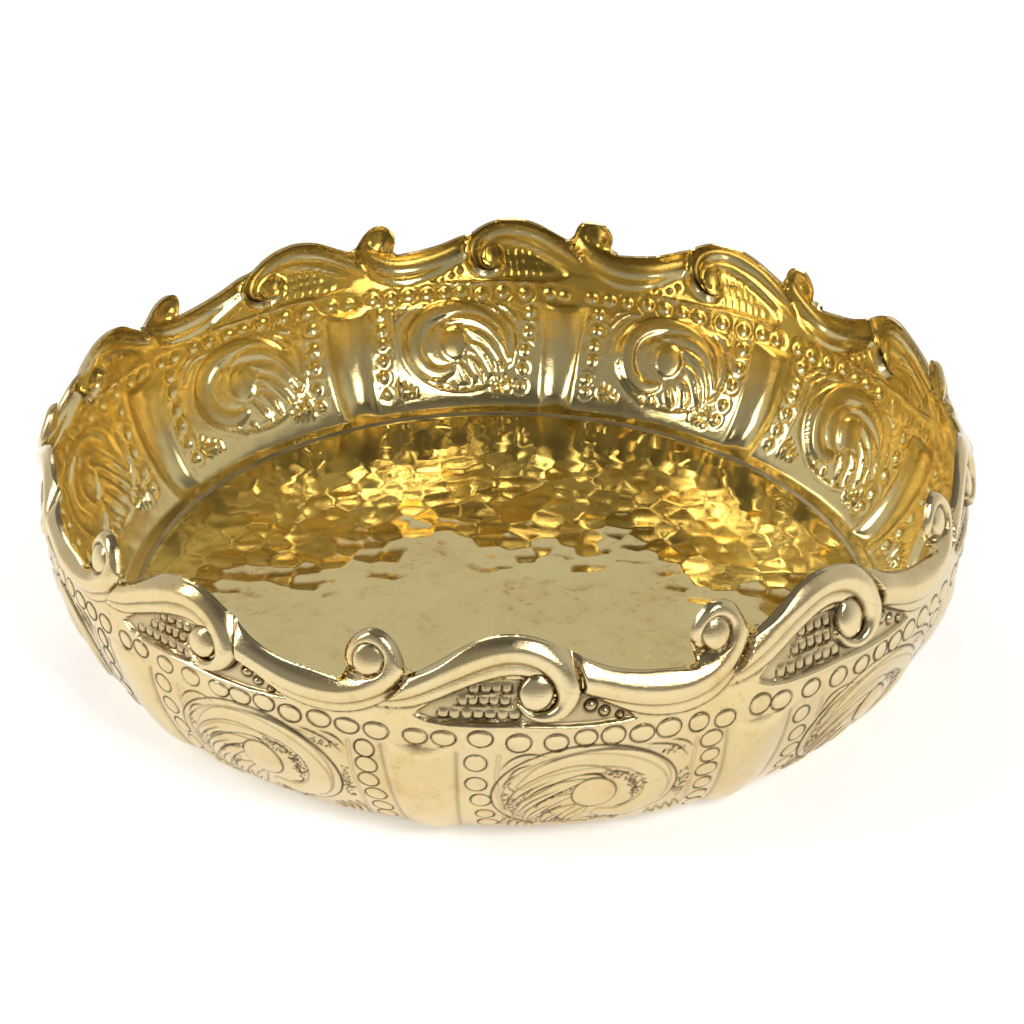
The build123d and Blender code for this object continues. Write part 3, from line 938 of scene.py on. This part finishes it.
class Nodes:
    """Short calls for building a material's nodes."""

    def __init__(self, name):
        self.material = bpy.data.materials.new(name)
        self.material.use_nodes = True
        self.tree = self.material.node_tree
        self.shader = self.tree.nodes["Principled BSDF"]

    def add(self, kind, inputs=None, **settings):
        node = self.tree.nodes.new(kind)
        for key, value in settings.items():
            setattr(node, key, value)
        for key, value in (inputs or {}).items():
            self.feed(node.inputs[key], value)
        return node

    def feed(self, socket, value):
        if isinstance(value, bpy.types.NodeSocket):
            self.tree.links.new(value, socket)
        else:
            socket.default_value = value

    def math(self, operation, *values, clamp=False):
        node = self.add("ShaderNodeMath", operation=operation, use_clamp=clamp)
        for socket, value in zip(node.inputs, values):
            self.feed(socket, value)
        return node.outputs[0]

    def times(self, a, b, clamp=False):
        return self.math("MULTIPLY", a, b, clamp=clamp)

    def noise(self, place, scale, detail, rough):
        inputs = {"Vector": place, "Scale": scale, "Detail": detail, "Roughness": rough}
        return self.add("ShaderNodeTexNoise", inputs).outputs["Fac"]

    def rise(self, fac, low, high):
        return self.ramp(fac, [(low, 0.0), (high, 1.0)])

    def ramp(self, fac, stops):
        node = self.add("ShaderNodeValToRGB", {"Fac": fac})
        set_stops(node.color_ramp, stops)
        return node.outputs["Color"]

    def mix(self, fac, a, b):
        node = self.add("ShaderNodeMix", data_type="RGBA")
        self.feed(node.inputs[0], fac)
        self.feed(node.inputs[6], a)
        self.feed(node.inputs[7], b)
        return node.outputs[2]


def shade(value):
    """A grey level or an RGB colour as RGBA."""
    return (*value, 1.0) if isinstance(value, tuple) else (value, value, value, 1.0)


def set_stops(ramp, stops):
    """Gives a colour ramp its stops, each a position and a shade."""
    ends = ramp.elements
    ends[0].position, ends[0].color = stops[0][0], shade(stops[0][1])
    ends[1].position, ends[1].color = stops[-1][0], shade(stops[-1][1])
    for position, colour in stops[1:-1]:
        ramp.elements.new(position).color = shade(colour)


BRASS = (0.71, 0.575, 0.32)
AMBER = (0.66, 0.46, 0.17)
INNER_BRASS = (0.78, 0.64, 0.295)
TARNISH = (0.40, 0.26, 0.09)
GRIME = (0.045, 0.024, 0.010)


def brass(name, rough, grain, stain, dark_power):
    """Polished brass: cloudy tarnish, dark patina in the chased lines, fine scratches and pits."""
    n = Nodes(name)
    place = n.add("ShaderNodeTexCoord").outputs["Object"]
    patina_value = n.add("ShaderNodeAttribute", attribute_name="patina").outputs["Fac"]
    inside = n.add("ShaderNodeAttribute", attribute_name="inside").outputs["Fac"]
    cloud = n.noise(place, 24.0, 5.0, 0.62)
    blotch = n.noise(place, 85.0, 6.0, 0.7)
    speck = n.noise(place, 900.0, 3.0, 0.6)
    clean = n.mix(inside, shade(BRASS), shade(INNER_BRASS))
    amber = n.times(n.rise(cloud, 0.42, 0.72), n.ramp(blotch, [(0.35, 0.25), (0.65, 1.0)]))
    clean = n.mix(n.times(amber, 0.8), clean, shade(AMBER))
    tarnished = n.times(n.rise(blotch, 0.56, 0.74), stain)
    colour = n.mix(tarnished, clean, shade(TARNISH))
    broken = n.math("MULTIPLY_ADD", n.rise(blotch, 0.3, 0.7), 0.4, 0.85)
    depth = n.times(n.math("POWER", patina_value, dark_power), broken, clamp=True)
    colour = n.mix(n.times(patina_value, 0.4, clamp=True), colour, shade(TARNISH))
    colour = n.mix(depth, colour, shade(GRIME))
    spots = n.rise(n.noise(place, 330.0, 2.0, 0.5), 0.6, 0.7)
    spots = n.times(spots, n.rise(cloud, 0.5, 0.62))
    colour = n.mix(n.times(spots, stain), colour, shade(TARNISH))
    colour = n.mix(n.times(n.rise(speck, 0.70, 0.78), stain), colour, shade(TARNISH))
    n.feed(n.shader.inputs["Base Color"], colour)
    n.shader.inputs["Metallic"].default_value = 1.0
    smear = n.math("MULTIPLY_ADD", cloud, 0.07, rough)
    worn = n.math("ADD", smear, n.times(depth, 0.45), clamp=True)
    worn = n.math("ADD", worn, n.times(tarnished, 0.25), clamp=True)
    n.feed(n.shader.inputs["Roughness"], worn)
    scratch_place = n.add("ShaderNodeMapping", {"Vector": place, "Scale": (1.0, 1.0, 14.0)}).outputs[0]
    scratches = n.noise(scratch_place, 260.0, 4.0, 0.75)
    height = n.math("ADD", n.times(scratches, grain), n.times(speck, 0.35 * grain))
    bump = n.add("ShaderNodeBump", {"Height": height, "Distance": 0.001, "Strength": 0.35})
    n.feed(n.shader.inputs["Normal"], bump.outputs[0])
    return n.material


def solder_metal():
    """Tin solder, dull and a little lumpy, coloured by the brass about it."""
    n = Nodes("solder")
    place = n.add("ShaderNodeTexCoord").outputs["Object"]
    lumps = n.noise(place, 300.0, 4.0, 0.6)
    cloud = n.noise(place, 60.0, 3.0, 0.5)
    colour = n.ramp(cloud, [(0.3, (0.30, 0.235, 0.12)), (0.7, (0.52, 0.42, 0.22))])
    n.feed(n.shader.inputs["Base Color"], colour)
    n.shader.inputs["Metallic"].default_value = 1.0
    n.feed(n.shader.inputs["Roughness"], n.math("MULTIPLY_ADD", cloud, 0.25, 0.25))
    bump = n.add("ShaderNodeBump", {"Height": lumps, "Distance": 0.0006, "Strength": 0.5})
    n.feed(n.shader.inputs["Normal"], bump.outputs[0])
    return n.material


def dress(piece, material):
    """Gives a piece its one material."""
    piece.data.materials.clear()
    piece.data.materials.append(material)


# The stage

STUDIO_LEVELS = [(0.0, 0.95), (0.10, 0.74), (0.32, 0.66), (0.74, 0.64), (0.78, 0.22), (1.0, 0.20)]
LIGHTS = [  # name, place, aim, size, watts
    ("left_box", (-1.2, -0.4, 1.0), (0, 0, 0.05), (0.25, 0.8), 7),
    ("right_box", (0.62, -0.95, 1.12), (0, 0, 0.05), (0.42, 0.42), 9),
    ("back_box", (-0.3, 1.3, 1.5), (0, 0, 0), (1.1, 0.35), 6),
]
GROUND_HALF = 6.0
CAMERA_PLACE = (0.0027, -0.5886, 0.3736)
CAMERA_TILT = 59.87  # degrees up from straight down
CAMERA_ROLL = 0.81
CAMERA_LENS = 60.4


def area_light(name, place, aim, size, power):
    """A rectangular soft box that faces its aim, with its long sides level or upright."""
    light = bpy.data.lights.new(name, "AREA")
    light.shape = "RECTANGLE"
    light.size, light.size_y = size
    light.energy = power
    lamp = bpy.data.objects.new(name, light)
    bpy.context.scene.collection.objects.link(lamp)
    from_to = np.array(aim, float) - np.array(place, float)
    back = -from_to / np.linalg.norm(from_to)
    side = np.cross((0.0, 0.0, 1.0), back)
    side /= np.linalg.norm(side)
    up = np.cross(back, side)
    lamp.matrix_world = Matrix([(side[i], up[i], back[i], place[i]) for i in range(3)] + [(0, 0, 0, 1)])


def make_world():
    """A pale studio: bright low down, greyer over the back, darker behind the camera."""
    world = bpy.data.worlds.new("studio")
    bpy.context.scene.world = world
    world.use_nodes = True
    tree = world.node_tree
    place = tree.nodes.new("ShaderNodeTexCoord").outputs["Generated"]
    split = tree.nodes.new("ShaderNodeSeparateXYZ")
    tree.links.new(place, split.inputs[0])
    heights = tree.nodes.new("ShaderNodeValToRGB")
    tree.links.new(split.outputs["Z"], heights.inputs["Fac"])
    set_stops(heights.color_ramp, STUDIO_LEVELS)
    front = tree.nodes.new("ShaderNodeMapRange")
    tree.links.new(split.outputs["Y"], front.inputs["Value"])
    for name, value in (("From Min", -0.4), ("From Max", -0.2), ("To Min", 0.55), ("To Max", 1.0)):
        front.inputs[name].default_value = value
    background = tree.nodes["Background"]
    tree.links.new(heights.outputs["Color"], background.inputs["Color"])
    tree.links.new(front.outputs["Result"], background.inputs["Strength"])


def make_ground():
    """A plain pale floor."""
    mesh = bpy.data.meshes.new("studio_floor")
    corners = [(GROUND_HALF * x, GROUND_HALF * y, 0) for x, y in ((-1, -1), (1, -1), (1, 1), (-1, 1))]
    mesh.from_pydata(corners, [], [(0, 1, 2, 3)])
    floor = bpy.data.objects.new("studio_floor", mesh)
    bpy.context.scene.collection.objects.link(floor)
    floor.location.z = -0.0003
    n = Nodes("studio_floor")
    n.shader.inputs["Base Color"].default_value = shade(0.93)
    n.shader.inputs["Roughness"].default_value = 0.9
    n.shader.inputs["Specular IOR Level"].default_value = 0.1
    n.shader.inputs["Emission Color"].default_value = shade(1.0)
    n.shader.inputs["Emission Strength"].default_value = 0.38
    dress(floor, n.material)


def make_camera():
    """The camera, in front and above."""
    camera = bpy.data.cameras.new("camera")
    camera.lens = CAMERA_LENS
    camera.sensor_width = 36.0
    rig = bpy.data.objects.new("camera", camera)
    bpy.context.scene.collection.objects.link(rig)
    tilt = Matrix.Rotation(math.radians(CAMERA_TILT), 4, "X")
    roll = Matrix.Rotation(math.radians(CAMERA_ROLL), 4, "Z")
    rig.matrix_world = Matrix.Translation(CAMERA_PLACE) @ tilt @ roll
    bpy.context.scene.camera = rig


def main():
    """Makes the pieces and dresses them; the solder round the floor keeps its CAD mesh."""
    band, seam = make_band()
    floor = make_floor()
    wall_brass = brass("chased_brass", 0.06, 0.16, 0.30, 1.1)
    floor_brass = brass("hammered_brass", 0.015, 0.05, 0.55, 1.6)
    solder = solder_metal()
    for piece, material, node, slot in (
        (band, wall_brass, "wall_band", "chased_brass"),
        (seam, solder, "seam_solder", "solder"),
        (floor, floor_brass, "floor_disc", "hammered_brass"),
    ):
        dress(piece, material)
        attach(piece, "root")
        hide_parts(node)
    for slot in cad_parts["floor_solder"].material_slots:
        slot.material = solder
    make_world()
    make_ground()
    make_camera()
    for light in LIGHTS:
        area_light(*light)
    bpy.context.scene.view_settings.view_transform = "Standard"


main()
